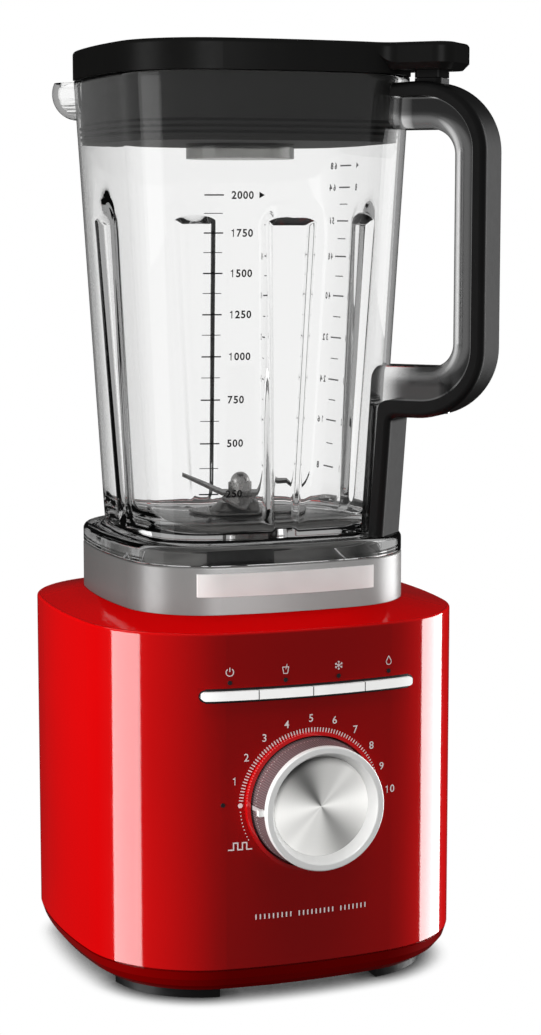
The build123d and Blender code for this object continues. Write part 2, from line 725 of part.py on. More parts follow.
def lid_plug():
    """Soft skirt that seals inside the jar, with three ribs."""
    inset = JAR_WALL + 0.9
    skirt = jar_taper(PLUG_Z, TOP_Z - 3.05, inset)
    skirt = skirt & slab(LID, PLUG_Z, TOP_Z - 3.05, 6.05)
    for z in (401.5, 404.1, 406.7):
        skirt = skirt + taper(JAR, z, jar_inset(z) + JAR_WALL + 0.25, z + 1.2, jar_inset(z + 1.2) + JAR_WALL + 0.25)
    skirt = skirt - jar_taper(PLUG_Z + 2.4, TOP_Z, inset + 2.6)
    skirt = skirt - drum(CAP_R + GAP, 390, 450)
    return skirt + (tube(CAP_R + 3.9, CAP_R + GAP, PLUG_Z, LID_Z - 0.05))


def measuring_cap():
    cup = drum(CAP_R, 392.6, TOP_Z) + drum(CAP_R + 3.4, TOP_Z + 0.1, TOP_Z + 1.9)
    cup = cup + drum(CAP_R, TOP_Z - 1, TOP_Z + 1)
    return cup - drum(CAP_R - 2.2, 390, TOP_Z - 1.0)


# ------------------------------------------------------------------ export

PARTS = {
    "base_housing": base_housing,
    "base_pan": base_pan,
    "feet": feet,
    "pan_screws": pan_screws,
    "collar_ring": collar_ring,
    "badge_bar": badge_bar,
    "jar_seat": jar_seat,
    "deck_seal": deck_seal,
    "button_bezel": button_bezel,
    "led_lenses": led_lenses,
    "tact_switches": tact_switches,
    "control_board": control_board,
    "control_chips": control_chips,
    "dial_trim_ring": dial_trim_ring,
    "dial_skirt": dial_skirt,
    "dial_ring": dial_ring,
    "dial_face": dial_face,
    "dial_hub": dial_hub,
    "dial_pointer": dial_pointer,
    "encoder_shaft": encoder_shaft,
    "encoder": encoder,
    "motor_bolts": motor_bolts,
    "stator_core": stator_core,
    "field_coils": field_coils,
    "armature_core": armature_core,
    "armature_windings": armature_windings,
    "commutator": commutator,
    "motor_shaft": motor_shaft,
    "cooling_fan": cooling_fan,
    "upper_bracket": upper_bracket,
    "lower_bracket": lower_bracket,
    "motor_bearings": motor_bearings,
    "motor_dampers": motor_dampers,
    "carbon_brushes": carbon_brushes,
    "brush_holders": brush_holders,
    "power_board": power_board,
    "power_parts": power_parts,
    "cord_gland": cord_gland,
    "drive_coupling": drive_coupling,
    "driven_coupling": driven_coupling,
    "jar_body": jar_body,
    "handle_shell": handle_shell,
    "handle_core": handle_core,
    "handle_screws": handle_screws,
    "hub_gasket": hub_gasket,
    "blade_hub": blade_hub,
    "hub_nut": hub_nut,
    "shaft_bearings": shaft_bearings,
    "shaft_seal": shaft_seal,
    "blade_shaft": blade_shaft,
    "lower_blade": lower_blade,
    "upper_blade": upper_blade,
    "blade_nut": blade_nut,
    "lid_shell": lid_shell,
    "lid_plug": lid_plug,
    "measuring_cap": measuring_cap,
}

for index, name in enumerate(BUTTON_NAMES):
    export_step(button(index), f"parts/{name}.step")
for name, make in PARTS.items():
    export_step(make(), f"parts/{name}.step")
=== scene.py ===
import math

import bmesh
import bpy
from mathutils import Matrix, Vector


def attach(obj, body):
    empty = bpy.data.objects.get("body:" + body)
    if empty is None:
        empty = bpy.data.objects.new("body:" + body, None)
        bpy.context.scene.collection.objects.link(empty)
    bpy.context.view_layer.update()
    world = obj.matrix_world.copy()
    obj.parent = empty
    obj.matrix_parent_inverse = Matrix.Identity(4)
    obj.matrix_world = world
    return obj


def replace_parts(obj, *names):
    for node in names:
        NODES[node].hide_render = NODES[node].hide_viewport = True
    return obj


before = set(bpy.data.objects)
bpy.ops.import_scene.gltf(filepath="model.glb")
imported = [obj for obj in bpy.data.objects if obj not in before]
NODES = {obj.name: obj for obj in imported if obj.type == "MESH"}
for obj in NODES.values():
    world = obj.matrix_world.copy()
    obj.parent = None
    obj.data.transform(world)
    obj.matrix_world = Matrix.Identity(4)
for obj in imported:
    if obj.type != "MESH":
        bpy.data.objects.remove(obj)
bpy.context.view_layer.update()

MM = 0.001

# plan outlines in mm: half width at mid side, side arc radius, corner arc radius
BASE = (95.6, 296.0, 60.2)
COLLAR = (72.64, 253.0, 41.1)
JAR = (74.5, 328.0, 42.8)

# heights in mm
FLANGE_Z = 203.5
LEDGE_Z = 212.5
JAR_FLOOR_Z = 215.5
JAR_RIM_Z = 430.7
DRAFT = 0.0618
JAR_WALL = 3.6
FLOOR_ROUND = 14.0
HUB_HOLE_R = 16.3

# flutes pressed into the jar: half width at the top, depth, where the end slope starts and how tall it is
FLUTE_HALF = 12.8
FLUTE_DEPTH = 4.0
FLUTE_END_Z = 360.6
FLUTE_END_RISE = 4.8

# spout bulge at the back left corner: distance from the axis, height, outer and inner ball radius
SPOUT_R = 88.8
SPOUT_Z = 425.3
SPOUT_OUT = 13.0
SPOUT_IN = 10.2
SPOUT_QUARTER = 2

DIAL_Z = 95.0
ICON_Z = 158.2
ICON_XS = {"power": -39.75, "smoothie": -13.25, "ice": 13.25, "clean": 39.75}


# ------------------------------------------------------------------ outlines

def corner_centre(size):
    """Distance along x and y from the axis to the centre of a corner arc."""
    off, reach = size[1] - size[0], size[1] - size[2]
    return (-2 * off + math.sqrt(4 * off ** 2 - 8 * (off ** 2 - reach ** 2))) / 4


def front_depth(size, x, inset=0.0):
    """How far the bowed front stands from the middle at x, in mm."""
    half, side_r, corner_r = (v - inset for v in size)
    off = side_r - half
    k = corner_centre((half, side_r, corner_r))
    if abs(x) <= k * side_r / (side_r - corner_r):
        return math.sqrt(side_r ** 2 - x ** 2) - off
    return k + math.sqrt(max(corner_r ** 2 - (abs(x) - k) ** 2, 0.0))


# ------------------------------------------------------------------ meshes

def new_piece(name, verts, faces, body, material, smooth=True):
    """A mesh from points in mm, which rides on a body and takes the given material."""
    mesh = bpy.data.meshes.new(name)
    mesh.from_pydata([tuple(c * MM for c in v) for v in verts], [], faces)
    mesh.validate()
    bm = bmesh.new()
    bm.from_mesh(mesh)
    bmesh.ops.recalc_face_normals(bm, faces=bm.faces)
    bm.to_mesh(mesh)
    bm.free()
    for polygon in mesh.polygons:
        polygon.use_smooth = smooth
    mesh.materials.append(material)
    piece = bpy.data.objects.new(name, mesh)
    bpy.context.scene.collection.objects.link(piece)
    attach(piece, body)
    return piece


# outline of a 1, and how wide a digit and its step are for a height of 1
ONE = [(0.10, -0.5), (0.10, 0.5), (0.0, 0.5), (-0.05, 0.42), (-0.13, 0.36), (-0.25, 0.33), (-0.25, 0.22),
       (-0.05, 0.22), (-0.05, -0.5)]
WIDEST_DIGIT = 0.64
PITCH = 0.76


def digit_mesh(digit, weight):
    """Outline of one digit as (points, faces), centred, 1 high."""
    if digit == "1":
        stem = ONE[0][0] - 0.12 * (0.45 - weight)
        return [(stem if x == ONE[0][0] else x, y) for x, y in ONE], [tuple(range(len(ONE)))]
    curve = bpy.data.curves.new("digits", "FONT")
    curve.body = digit
    curve.size = 10.0
    curve.offset = weight
    curve.resolution_u = 4
    holder = bpy.data.objects.new("digits", curve)
    bpy.context.scene.collection.objects.link(holder)
    bpy.context.view_layer.update()
    graph = bpy.context.evaluated_depsgraph_get()
    mesh = bpy.data.meshes.new_from_object(holder.evaluated_get(graph))
    points = [(v.co.x, v.co.y) for v in mesh.vertices]
    faces = [tuple(p.vertices) for p in mesh.polygons]
    bpy.data.objects.remove(holder)
    bpy.data.curves.remove(curve)
    bpy.data.meshes.remove(mesh)
    x0, x1 = min(p[0] for p in points), max(p[0] for p in points)
    y0, y1 = min(p[1] for p in points), max(p[1] for p in points)
    wide = min((x1 - x0) / (y1 - y0), WIDEST_DIGIT)
    centred = [(x - (x0 + x1) / 2, y - (y0 + y1) / 2) for x, y in points]
    return [(x / (x1 - x0) * wide, y / (y1 - y0)) for x, y in centred], faces


def glyph_mesh(number, height, align="CENTER", weight=0.0, width=None):
    """Flat digits of a number as (points, faces), evenly spaced, middle height at 0, in mm."""
    points, faces = [], []
    pitch = height * PITCH if width is None else width / len(number)
    start = {"LEFT": pitch / 2, "CENTER": -(len(number) - 1) * pitch / 2}[align]
    for place, digit in enumerate(number):
        outline, loops = digit_mesh(digit, weight)
        base = len(points)
        points += [(start + place * pitch + x * height, y * height) for x, y in outline]
        faces += [tuple(i + base for i in loop) for loop in loops]
    return points, faces


class Print:
    """Flat marks gathered in (u, v) and then laid on a surface."""

    def __init__(self):
        self.points, self.faces = [], []

    def add(self, points, faces, u=0.0, v=0.0, turn=0.0):
        c, s = math.cos(turn), math.sin(turn)
        base = len(self.points)
        self.points += [(u + x * c - y * s, v + x * s + y * c) for x, y in points]
        self.faces += [tuple(i + base for i in f) for f in faces]

    def bar(self, u0, u1, v, height, cells=6):
        self.strip(u0, u1, v - height / 2, v + height / 2, cells)

    def strip(self, u0, u1, v0, v1, cells=6):
        points = [(u0 + (u1 - u0) * i / cells, w) for i in range(cells + 1) for w in (v0, v1)]
        faces = [(2 * i, 2 * i + 2, 2 * i + 3, 2 * i + 1) for i in range(cells)]
        self.add(points, faces)

    def tick(self, u, v, angle, r0, r1, width):
        points = [(r0, -width / 2), (r1, -width / 2), (r1, width / 2), (r0, width / 2)]
        self.add(points, [(0, 1, 2, 3)], u, v, angle)

    def dot(self, u, v, radius, sides=16):
        rim = [(radius * math.cos(2 * math.pi * i / sides), radius * math.sin(2 * math.pi * i / sides))
               for i in range(sides)]
        self.add(rim, [tuple(range(sides))], u, v)

    def arc(self, u, v, radius, width, start, end, cells=20):
        points = []
        for i in range(cells + 1):
            a = start + (end - start) * i / cells
            for r in (radius - width / 2, radius + width / 2):
                points.append((r * math.cos(a), r * math.sin(a)))
        faces = [(2 * i, 2 * i + 1, 2 * i + 3, 2 * i + 2) for i in range(cells)]
        self.add(points, faces, u, v)

    def line(self, points, width):
        """Stroke through points, cut square."""
        for (x0, y0), (x1, y1) in zip(points, points[1:]):
            length = math.hypot(x1 - x0, y1 - y0)
            self.add([(-width / 3, -width / 2), (length + width / 3, -width / 2),
                      (length + width / 3, width / 2), (-width / 3, width / 2)],
                     [(0, 1, 2, 3)], x0, y0, math.atan2(y1 - y0, x1 - x0))

    def lay(self, name, place, body, material):
        """Makes the marks one piece, each point put on the surface by place(u, v)."""
        verts = [place(u, v) for u, v in self.points]
        return new_piece(name, verts, self.faces, body, material, smooth=False)


# ------------------------------------------------------------------ materials

class Look:
    """A node material built around one Principled shader."""

    def __init__(self, name, colour, rough, **constants):
        self.material = bpy.data.materials.new("look_" + name)
        self.material.use_nodes = True
        self.tree = self.material.node_tree
        self.tree.nodes.clear()
        out = self.node("ShaderNodeOutputMaterial")
        self.shader = self.node("ShaderNodeBsdfPrincipled")
        self.link(self.shader.outputs["BSDF"], out.inputs["Surface"])
        self.shader.inputs["Base Color"].default_value = (*colour, 1.0)
        self.shader.inputs["Roughness"].default_value = rough
        for key, value in constants.items():
            self.shader.inputs[key.replace("_", " ")].default_value = value
        self.coords = self.node("ShaderNodeTexCoord").outputs["Object"]
        self.colour, self.rough = colour, rough

    def node(self, kind, **settings):
        made = self.tree.nodes.new(kind)
        for key, value in settings.items():
            setattr(made, key, value)
        return made

    def link(self, a, b):
        self.tree.links.new(a, b)

    def noise(self, scale, detail=2.0, vector=None):
        made = self.node("ShaderNodeTexNoise")
        made.inputs["Scale"].default_value = scale
        made.inputs["Detail"].default_value = detail
        self.link(vector or self.coords, made.inputs["Vector"])
        return made.outputs["Fac"]

    def ramp(self, value, low, high, out_low, out_high):
        made = self.node("ShaderNodeMapRange")
        for socket, number in zip(("From Min", "From Max", "To Min", "To Max"),
                                  (low, high, out_low, out_high)):
            made.inputs[socket].default_value = number
        self.link(value, made.inputs["Value"])
        return made.outputs["Result"]

    def blend(self, factor, a, b):
        made = self.node("ShaderNodeMix", data_type="RGBA")
        made.inputs["A"].default_value = (*a, 1.0)
        made.inputs["B"].default_value = (*b, 1.0)
        self.link(factor, made.inputs["Factor"])
        return made.outputs["Result"]

    def cloudy(self, scale, share):
        """Slow colour variation between two near tones."""
        dark = tuple(c * (1 - share) for c in self.colour)
        light = tuple(min(c * (1 + share), 1.0) for c in self.colour)
        factor = self.ramp(self.noise(scale), 0.35, 0.65, 0.0, 1.0)
        self.link(self.blend(factor, dark, light), self.shader.inputs["Base Color"])
        return self

    def worn(self, scale, share=0.12):
        """Uneven gloss."""
        low, high = self.rough * (1 - share), self.rough * (1 + share)
        value = self.ramp(self.noise(scale, 4.0), 0.3, 0.7, low, high)
        self.link(value, self.shader.inputs["Roughness"])
        return self

    def grain(self, scale, depth, detail=2.0, vector=None):
        """Fine relief: depth in metres."""
        bump = self.node("ShaderNodeBump")
        bump.inputs["Strength"].default_value = 1.0
        bump.inputs["Distance"].default_value = depth
        self.link(self.noise(scale, detail, vector), bump.inputs["Height"])
        self.link(bump.outputs["Normal"], self.shader.inputs["Normal"])
        return self

    def stretched(self, x, y, z):
        made = self.node("ShaderNodeMapping")
        made.inputs["Scale"].default_value = (x, y, z)
        self.link(self.coords, made.inputs["Vector"])
        return made.outputs["Vector"]

    def place(self, axis):
        """One coordinate of the object, in mm."""
        split = self.node("ShaderNodeSeparateXYZ")
        self.link(self.coords, split.inputs[0])
        return self.math("MULTIPLY", split.outputs[axis], 1000.0)

    def math(self, operation, a, b=None):
        made = self.node("ShaderNodeMath", operation=operation)
        for socket, value in zip(made.inputs, (a, b)):
            if isinstance(value, (int, float)):
                socket.default_value = value
            elif value is not None:
                self.link(value, socket)
        return made.outputs[0]

    def stops(self, value, table):
        """Grey tones along a value from 0 to 1, as (place, tone)."""
        made = self.node("ShaderNodeValToRGB")
        ramp = made.color_ramp
        for index, (at, tone) in enumerate(table):
            entry = ramp.elements[index] if index < 2 else ramp.elements.new(at)
            entry.position = at
            entry.color = (tone, tone, tone, 1.0)
        self.link(value, made.inputs["Fac"])
        return made.outputs["Color"]


def around_dial(look):
    """Radius in metres and angle in radians about the dial axis."""
    centred = look.node("ShaderNodeMapping")
    centred.inputs["Location"].default_value = (0.0, 0.0, -DIAL_Z * MM)
    look.link(look.coords, centred.inputs["Vector"])
    flat = look.node("ShaderNodeVectorMath", operation="MULTIPLY")
    flat.inputs[1].default_value = (1.0, 0.0, 1.0)
    look.link(centred.outputs["Vector"], flat.inputs[0])
    radius = look.node("ShaderNodeVectorMath", operation="LENGTH")
    look.link(flat.outputs["Vector"], radius.inputs[0])
    split = look.node("ShaderNodeSeparateXYZ")
    look.link(flat.outputs["Vector"], split.inputs[0])
    angle = look.math("ARCTAN2", split.outputs["Z"], split.outputs["X"])
    return radius.outputs["Value"], angle


# painted highlights and painted shade across the spun disc, in opposite pairs of wedges: middle in degrees,
# sharpness, added tone
PAINTED_LIGHT_WEDGES = ((5, 8, 0.30), (50, 40, 0.12), (123, 5, -0.40))
# the disc's tone, and how much painted shade darkens it towards the top
DISC_TONE = 0.60
DISC_PAINTED_SHADE = 0.09


def spun_metal():
    """Lathe-turned disc: fine rings about the dial axis, with painted highlight and painted shade wedges
    across them and painted shade towards the top.
    """
    look = Look("spun_disc", (0.74, 0.73, 0.70), 0.42, Specular_IOR_Level=0.3, Anisotropic=0.6)
    radius, angle = around_dial(look)
    rings = look.node("ShaderNodeTexNoise", noise_dimensions="1D")
    rings.inputs["Scale"].default_value = 5200.0
    rings.inputs["Detail"].default_value = 3.0
    look.link(radius, rings.inputs["W"])
    look.link(look.ramp(rings.outputs["Fac"], 0.3, 0.7, 0.36, 0.48), look.shader.inputs["Roughness"])
    # painted shade: the tone falls towards the top of the disc
    tone = look.math("SUBTRACT", DISC_TONE, look.math("MULTIPLY", look.math("SINE", angle), DISC_PAINTED_SHADE))
    # painted highlights and painted shade: wedges of tone added by angle
    for middle, sharpness, added in PAINTED_LIGHT_WEDGES:
        swing = look.math("COSINE", look.math("SUBTRACT", angle, math.radians(middle)))
        wedges = look.math("POWER", look.math("MULTIPLY", swing, swing), sharpness)
        tone = look.math("ADD", tone, look.math("MULTIPLY", wedges, added))
    tint = look.node("ShaderNodeMix", data_type="RGBA", blend_type="MULTIPLY")
    tint.inputs["Factor"].default_value = 1.0
    level = look.ramp(rings.outputs["Fac"], 0.3, 0.7, 0.0, 1.0)
    fine = look.blend(level, (0.91, 0.905, 0.88), (1.0, 0.995, 0.975))
    look.link(tone, tint.inputs["A"])
    look.link(fine, tint.inputs["B"])
    look.link(tint.outputs["Result"], look.shader.inputs["Base Color"])
    tangent = look.node("ShaderNodeTangent", direction_type="RADIAL", axis="Y")
    look.link(tangent.outputs["Tangent"], look.shader.inputs["Tangent"])
    return look.material


SKIRT_RIBS = 170


def ribbed_skirt():
    """Mauve grey translucent skirt with fine ribs along the dial axis, painted shade darkening the grooves
    between them.
    """
    look = Look("ribbed_skirt", (0.23, 0.165, 0.17), 0.35, Specular_IOR_Level=0.3)
    _, angle = around_dial(look)
    wave = look.math("SINE", look.math("MULTIPLY", angle, SKIRT_RIBS))
    level = look.ramp(wave, -1.0, 1.0, 0.0, 1.0)
    # painted shade: the colour darkens in the grooves between the ribs, where the bump is lowest
    look.link(look.blend(level, (0.10, 0.066, 0.070), (0.175, 0.125, 0.13)), look.shader.inputs["Base Color"])
    bump = look.node("ShaderNodeBump")
    bump.inputs["Distance"].default_value = 0.0002
    look.link(level, bump.inputs["Height"])
    look.link(bump.outputs["Normal"], look.shader.inputs["Normal"])
    return look.material


def rounded_rest(look, r, z, r_out, z_low, z_high, corner):
    """Distance outside a rounded outline that is open towards the axis, in mm."""
    across = look.math("MAXIMUM", look.math("SUBTRACT", r, r_out - corner), 0.0)
    middle, half = (z_low + z_high) / 2, (z_high - z_low) / 2
    offset = look.math("ABSOLUTE", look.math("SUBTRACT", z, middle))
    along = look.math("MAXIMUM", look.math("SUBTRACT", offset, half - corner), 0.0)
    squares = look.math("ADD", look.math("MULTIPLY", across, across), look.math("MULTIPLY", along, along))
    return look.math("SUBTRACT", look.math("SQRT", squares), corner)


# the bracket's finger opening and its seam with the shell, in mm: furthest radius, lowest, highest, corner
GRIP = (113.6, 294.5, 405.3, 11.5)
SEAM = (124.1, 278.4, 420.6, 25.5)
# the bracket's painted tone from the opening, 0, to the seam, 1: a painted highlight along the opening,
# painted dark refraction of the shell towards the seam, and a painted highlight line at the seam
BRACKET_PAINTED_TONES = ((0.0, 0.74), (0.28, 0.60), (0.42, 0.06), (0.55, 0.022),
                 (0.945, 0.02), (0.965, 0.38), (1.0, 0.38))


def smoky_bracket():
    """Clear bracket with painted light: a painted highlight along the finger opening, clear at the jar, and
    painted dark refraction of the shell where the shell backs it.
    """
    look = Look("smoky_bracket", (0.3, 0.3, 0.3), 0.10, IOR=1.45, Transmission_Weight=1.0)
    x, y, z = (look.place(axis) for axis in "XYZ")
    r = look.math("MULTIPLY", look.math("SUBTRACT", x, y), 0.70711)
    from_opening = rounded_rest(look, r, z, *GRIP)
    to_seam = look.math("MULTIPLY", rounded_rest(look, r, z, *SEAM), -1.0)
    whole = look.math("MAXIMUM", look.math("ADD", from_opening, to_seam), 0.1)
    # painted light: highlight along the opening, dark refraction of the shell towards the seam, highlight
    # line at the seam
    tone = look.stops(look.math("DIVIDE", from_opening, whole), BRACKET_PAINTED_TONES)
    near_jar = look.ramp(r, 80.0, 88.0, 1.0, 0.0)
    clear = look.node("ShaderNodeMix", data_type="RGBA")
    clear.inputs["B"].default_value = (0.85, 0.85, 0.845, 1.0)
    look.link(near_jar, clear.inputs["Factor"])
    look.link(clear.outputs["Result"], look.shader.inputs["Base Color"])
    # the lower arm turns opaque round the screw bores, which would show through it
    along = look.math("MULTIPLY", look.ramp(r, 78.0, 92.0, 0.0, 1.0), look.ramp(r, 108.0, 114.0, 1.0, 0.0))
    over_bores = look.math("MULTIPLY", look.ramp(z, 285.0, 293.0, 1.0, 0.0), along)
    look.link(look.math("ADD", tone, look.math("MULTIPLY", over_bores, 0.34)), clear.inputs["A"])
    look.link(look.math("SUBTRACT", 1.0, over_bores), look.shader.inputs["Transmission Weight"])
    look.grain(45.0, 2e-5, 1.0)
    return look.material


# heights in mm of the gaps between the plug's ribs, where painted shade lines go
RIB_GAP_SHADE_LINES = (403.4, 406.1, 408.9)


def ribbed_plug():
    """Soft black skirt with painted shade lines in the gaps between its ribs."""
    soft_black = (0.046, 0.046, 0.0445)
    look = Look("ribbed_plug", soft_black, 0.5, Specular_IOR_Level=0.12)
    z = look.place("Z")
    nearest = None
    for height in RIB_GAP_SHADE_LINES:
        gap = look.math("ABSOLUTE", look.math("SUBTRACT", z, height))
        nearest = gap if nearest is None else look.math("MINIMUM", nearest, gap)
    level = look.ramp(nearest, 0.50, 0.85, 0.0, 1.0)
    # painted shade: near black at the rib gaps
    look.link(look.blend(level, (0.002, 0.002, 0.002), soft_black), look.shader.inputs["Base Color"])
    look.grain(1800.0, 3e-6)
    return look.material


def wavy_seat():
    """Grey rubber tray with faint flowing streaks."""
    look = Look("wavy_seat", (0.2, 0.2, 0.2), 0.45, Specular_IOR_Level=0.3)
    flow = look.noise(1.0, 2.0, look.stretched(26.0, 26.0, 150.0))
    level = look.ramp(flow, 0.40, 0.62, 0.0, 1.0)
    look.link(look.blend(level, (0.13, 0.13, 0.127), (0.34, 0.335, 0.325)), look.shader.inputs["Base Color"])
    look.grain(1200.0, 4e-6)
    return look.material


def make_looks():
    """Material of each slot of the record."""
    looks = {}

    def keep(look, slot):
        looks[slot] = look.material

    gloss = Look("red_gloss", (0.60, 0.0010, 0.0016), 0.07, IOR=1.5)
    keep(gloss.cloudy(9.0, 0.05).worn(70.0).grain(900.0, 2e-7), "red_gloss")
    keep(Look("red_trim", (0.80, 0.006, 0.008), 0.12, Metallic=0.35, Coat_Weight=1.0, Coat_Roughness=0.03)
         .cloudy(30.0, 0.06).worn(120.0), "red_trim")
    brushed = Look("satin_grey_metal", (0.105, 0.104, 0.102), 0.34, Specular_IOR_Level=0.5)
    brushed.cloudy(16.0, 0.03).worn(300.0, 0.08).grain(2600.0, 6e-7)
    keep(brushed, "satin_grey_metal")
    keep(Look("satin_silver", (0.82, 0.82, 0.81), 0.40, Metallic=0.1, Specular_IOR_Level=0.3)
         .cloudy(40.0, 0.04).worn(400.0, 0.15).grain(3500.0, 4e-7), "satin_silver")
    looks["spun_disc"] = spun_metal()
    keep(Look("black_rubber", (0.014, 0.014, 0.015), 0.36).cloudy(60.0, 0.2).worn(300.0, 0.2)
         .grain(1800.0, 4e-6), "black_rubber")
    keep(Look("black_satin_plastic", (0.028, 0.028, 0.027), 0.34, Specular_IOR_Level=0.28).cloudy(30.0, 0.06)
         .worn(200.0, 0.10).grain(4200.0, 1.0e-6), "black_satin_plastic")
    keep(Look("dark_plastic", (0.016, 0.016, 0.017), 0.45).cloudy(40.0, 0.1).grain(3000.0, 2e-6),
         "dark_plastic")
    clear = Look("clear_plastic", (0.997, 0.998, 0.996), 0.0, IOR=1.5, Transmission_Weight=1.0)
    haze = clear.ramp(clear.noise(55.0, 2.0), 0.6, 0.9, 0.0, 0.006)
    clear.link(haze, clear.shader.inputs["Roughness"])
    keep(clear, "clear_plastic")
    smoky = Look("smoky_plastic", (0.45, 0.45, 0.44), 0.04, IOR=1.5, Transmission_Weight=1.0)
    smoky.cloudy(30.0, 0.05).worn(200.0, 0.3).grain(60.0, 2e-5, 1.0)
    keep(smoky, "smoky_plastic")
    keep(Look("led_lens", (0.05, 0.05, 0.055), 0.2, IOR=1.5).cloudy(400.0, 0.1).worn(500.0), "led_lens")
    keep(Look("screw_steel", (0.62, 0.61, 0.60), 0.28, Metallic=1.0).cloudy(120.0, 0.06).worn(600.0, 0.3)
         .grain(2500.0, 2e-6), "screw_steel")
    blade = Look("blade_steel", (0.20, 0.195, 0.19), 0.20, Metallic=1.0)
    blade.cloudy(60.0, 0.05).worn(300.0, 0.25).grain(1.0, 2e-6, 3.0, blade.stretched(400.0, 2600.0, 2600.0))
    keep(blade, "blade_steel")
    laminated = Look("laminations", (0.20, 0.20, 0.21), 0.45, Metallic=0.9)
    laminated.cloudy(80.0, 0.15).grain(1.0, 2e-5, 1.0, laminated.stretched(30.0, 30.0, 2000.0))
    keep(laminated, "laminations")
    wire = Look("copper_wire", (0.72, 0.30, 0.14), 0.30, Metallic=1.0)
    wire.cloudy(90.0, 0.12).grain(1.0, 5e-5, 1.0, wire.stretched(60.0, 60.0, 1800.0))
    keep(wire, "copper_wire")
    keep(Look("cast_bracket", (0.36, 0.36, 0.37), 0.5, Metallic=0.9).cloudy(60.0, 0.12)
         .grain(700.0, 3e-5, 4.0), "cast_bracket")
    keep(Look("carbon", (0.03, 0.03, 0.03), 0.7).cloudy(200.0, 0.3).grain(1500.0, 1e-5), "carbon")
    keep(Look("board_green", (0.01, 0.14, 0.05), 0.35).cloudy(150.0, 0.2).grain(900.0, 4e-6), "board_green")
    keep(Look("fan_plastic", (0.05, 0.05, 0.055), 0.4).cloudy(40.0, 0.15).grain(1200.0, 4e-6), "fan_plastic")
    return looks


LOOKS = make_looks()
INK = Look("scale_ink", (0.012, 0.012, 0.013), 0.5).cloudy(600.0, 0.3).worn(900.0).material
SHELL = Look("handle_shell", (0.030, 0.030, 0.030), 0.34).cloudy(30.0, 0.06).worn(200.0, 0.10)
SHELL.grain(4200.0, 1e-6)
# nodes that look different from the rest of their slot
OWN_LOOKS = {"handle_shell": SHELL.material, "handle_core": smoky_bracket(), "dial_skirt": ribbed_skirt(),
             "lid_plug": ribbed_plug(), "jar_seat": wavy_seat()}
PALE_INK = Look("panel_ink", (0.78, 0.68, 0.68), 0.55).cloudy(500.0, 0.04).worn(900.0).material

for name, node in NODES.items():
    for index, old in enumerate(node.data.materials):
        node.data.materials[index] = OWN_LOOKS.get(name, LOOKS[old.name.split(".")[0]])


# ------------------------------------------------------------------ jar

def smooth(t):
    """Eases from 0 to 1."""
    t = min(max(t, 0.0), 1.0)
    return t * t * (3 - 2 * t)


def flute_half(z, extra):
    """Half width of a flute, which narrows downwards."""
    return FLUTE_HALF - 0.043 * max(FLUTE_END_Z - z, 0.0) * (z < FLUTE_END_Z) + extra


def flute_press(s, z, inside):
    """How far a flute pushes the wall in, s being -1 to 1 across it."""
    floor_fade = smooth((z - 214.0) / 14.0)
    dome = math.sqrt(max(1 - s * s, 0.0))
    if inside:
        # softer sides and a softer top than outside
        across = 1 - smooth((abs(s) - 0.25) / 0.95)
        return FLUTE_DEPTH * across * floor_fade * (1 - smooth((z - 354.0 - 8.0 * dome) / 16.0))
    across = 1 - smooth((abs(s) - 0.60) / 0.40)
    rise = FLUTE_END_RISE * dome
    ended = 1.0 if z <= FLUTE_END_Z else max(FLUTE_END_Z + rise - z, 0.0) / max(rise, 1e-6)
    return FLUTE_DEPTH * min(across, ended) * floor_fade


# where the mesh lines stand across half a flute, close together on its side
FLUTE_STEPS = (0.0, 0.22, 0.40, 0.52, 0.60, 0.66, 0.72, 0.77, 0.82, 0.87, 0.92, 0.96, 1.0, 1.04, 1.12, 1.25)


def jar_columns():
    """Where the upright lines of the jar mesh stand: (quarter, side or corner, place along it)."""
    columns = []
    for quarter in range(4):
        columns += [(quarter, "side", t) for t in (-1.0, -0.84, -0.68)]
        columns += [(quarter, "flute", -s) for s in reversed(FLUTE_STEPS[1:])]
        columns += [(quarter, "flute", s) for s in FLUTE_STEPS]
        columns += [(quarter, "side", t) for t in (0.68, 0.84, 1.0)]
        cells = 80 if quarter == SPOUT_QUARTER else 16
        columns += [(quarter, "corner", i / cells) for i in range(1, cells)]
    return columns


def jar_point(size, inset, z, column, inside=None):
    """Point of an outline of the jar on one column, flutes included if inside is given."""
    quarter, kind, t = column
    k = corner_centre(size)
    off, side_r = size[1] - size[0], size[1] - inset
    end = math.atan2(k, off + k)
    pressed = 0.0
    if kind == "corner":
        angle = end + (math.pi / 2 - 2 * end) * t
        x, y = k + (size[2] - inset) * math.sin(angle), -k - (size[2] - inset) * math.cos(angle)
    else:
        if kind == "flute":
            angle = math.asin(t * flute_half(z, 3.4 if inside else 0.0) / side_r)
            pressed = flute_press(t, z, inside) if inside is not None else 0.0
        else:
            angle = end * t
        x, y = (side_r - pressed) * math.sin(angle), off - (side_r - pressed) * math.cos(angle)
    for _ in range(quarter):
        x, y = -y, x
    return x, y


def with_spout(x, y, z, ball):
    """Pushes a point out onto the spout bulge."""
    r, t = (-x + y) / math.sqrt(2), (x + y) / math.sqrt(2)
    left = ball ** 2 - t * t - (z - SPOUT_Z) ** 2
    if r > 0 and left > 0:
        r = max(r, SPOUT_R + math.sqrt(left))
    return (t - r) / math.sqrt(2), (t + r) / math.sqrt(2)


def steps(start, end, size):
    """Even steps from start to just short of end."""
    count = max(round(abs(end - start) / size), 1)
    return [start + (end - start) * i / count for i in range(count)]


